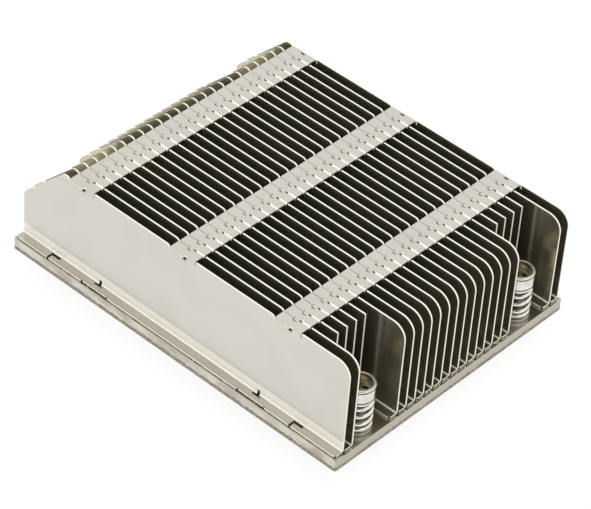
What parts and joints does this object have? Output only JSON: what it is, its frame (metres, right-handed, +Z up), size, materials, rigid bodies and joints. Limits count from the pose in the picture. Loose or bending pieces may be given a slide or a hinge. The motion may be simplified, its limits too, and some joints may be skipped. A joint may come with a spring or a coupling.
{
  "type": "passive server cpu heatsink",
  "caption": "Low passive heatsink for a server processor: folded sheet fins soldered to a flat base plate, with spring-loaded captive screws at the corners.",
  "frame": {"origin": "centre of the base plate's underside, the face that meets the processor", "axes": "+Z up through the fins, +Y along the fins towards their chamfered end, +X across the fins, the way their top flanges point"},
  "size_m": [0.0802, 0.105, 0.0362],
  "materials": {
    "base_metal": "satin plated plate, stamped edge",
    "fin_metal": "bright rolled sheet with faint scratches",
    "solder": "dull solder",
    "screw_metal": "bright turned and plated",
    "spring_metal": "bright drawn wire",
    "clip_metal": "plain spring steel"
  },
  "bodies": {
    "heatsink": {"base_plate": "base_metal", "solder_layer": "solder", "fin_01": "fin_metal", "fin_02": "fin_metal", "fin_03": "fin_metal", "fin_04": "fin_metal", "fin_05": "fin_metal", "fin_06": "fin_metal", "fin_07": "fin_metal", "fin_08": "fin_metal", "fin_09": "fin_metal", "fin_10": "fin_metal", "fin_11": "fin_metal", "fin_12": "fin_metal", "fin_13": "fin_metal", "fin_14": "fin_metal", "fin_15": "fin_metal", "fin_16": "fin_metal", "fin_17": "fin_metal", "fin_18": "fin_metal", "fin_19": "fin_metal", "fin_20": "fin_metal", "fin_21": "fin_metal", "fin_22": "fin_metal", "fin_23": "fin_metal", "fin_24": "fin_metal", "fin_25": "fin_metal", "fin_26": "fin_metal", "spring_front_left": "spring_metal", "spring_front_right": "spring_metal", "spring_rear_left": "spring_metal", "spring_rear_right": "spring_metal"},
    "clip_front_left": {"clip_front_left": "clip_metal"},
    "screw_front_left": {"screw_front_left": "screw_metal"},
    "clip_front_right": {"clip_front_right": "clip_metal"},
    "screw_front_right": {"screw_front_right": "screw_metal"},
    "clip_rear_left": {"clip_rear_left": "clip_metal"},
    "screw_rear_left": {"screw_rear_left": "screw_metal"},
    "clip_rear_right": {"clip_rear_right": "clip_metal"},
    "screw_rear_right": {"screw_rear_right": "screw_metal"}
  },
  "joints": [
    {"name": "travel_front_left", "type": "slide", "parent": "heatsink", "child": "clip_front_left", "axis": [0, 0, -1], "range_m": [0, 0.0018], "stiffness_N_per_m": 16000, "springref_m": -0.0001, "deforming": ["spring_front_left"]},
    {"name": "turn_front_left", "type": "hinge", "parent": "clip_front_left", "child": "screw_front_left", "pos_m": [-0.0273, -0.047, 0], "axis": [0, 0, 1], "continuous": true},
    {"name": "travel_front_right", "type": "slide", "parent": "heatsink", "child": "clip_front_right", "axis": [0, 0, -1], "range_m": [0, 0.0018], "stiffness_N_per_m": 16000, "springref_m": -0.0001, "deforming": ["spring_front_right"]},
    {"name": "turn_front_right", "type": "hinge", "parent": "clip_front_right", "child": "screw_front_right", "pos_m": [0.0287, -0.047, 0], "axis": [0, 0, 1], "continuous": true},
    {"name": "travel_rear_left", "type": "slide", "parent": "heatsink", "child": "clip_rear_left", "axis": [0, 0, -1], "range_m": [0, 0.0018], "stiffness_N_per_m": 16000, "springref_m": -0.0001, "deforming": ["spring_rear_left"]},
    {"name": "turn_rear_left", "type": "hinge", "parent": "clip_rear_left", "child": "screw_rear_left", "pos_m": [-0.0273, 0.047, 0], "axis": [0, 0, 1], "continuous": true},
    {"name": "travel_rear_right", "type": "slide", "parent": "heatsink", "child": "clip_rear_right", "axis": [0, 0, -1], "range_m": [0, 0.0018], "stiffness_N_per_m": 16000, "springref_m": -0.0001, "deforming": ["spring_rear_right"]},
    {"name": "turn_rear_right", "type": "hinge", "parent": "clip_rear_right", "child": "screw_rear_right", "pos_m": [0.0287, 0.047, 0], "axis": [0, 0, 1], "continuous": true}
  ]
}
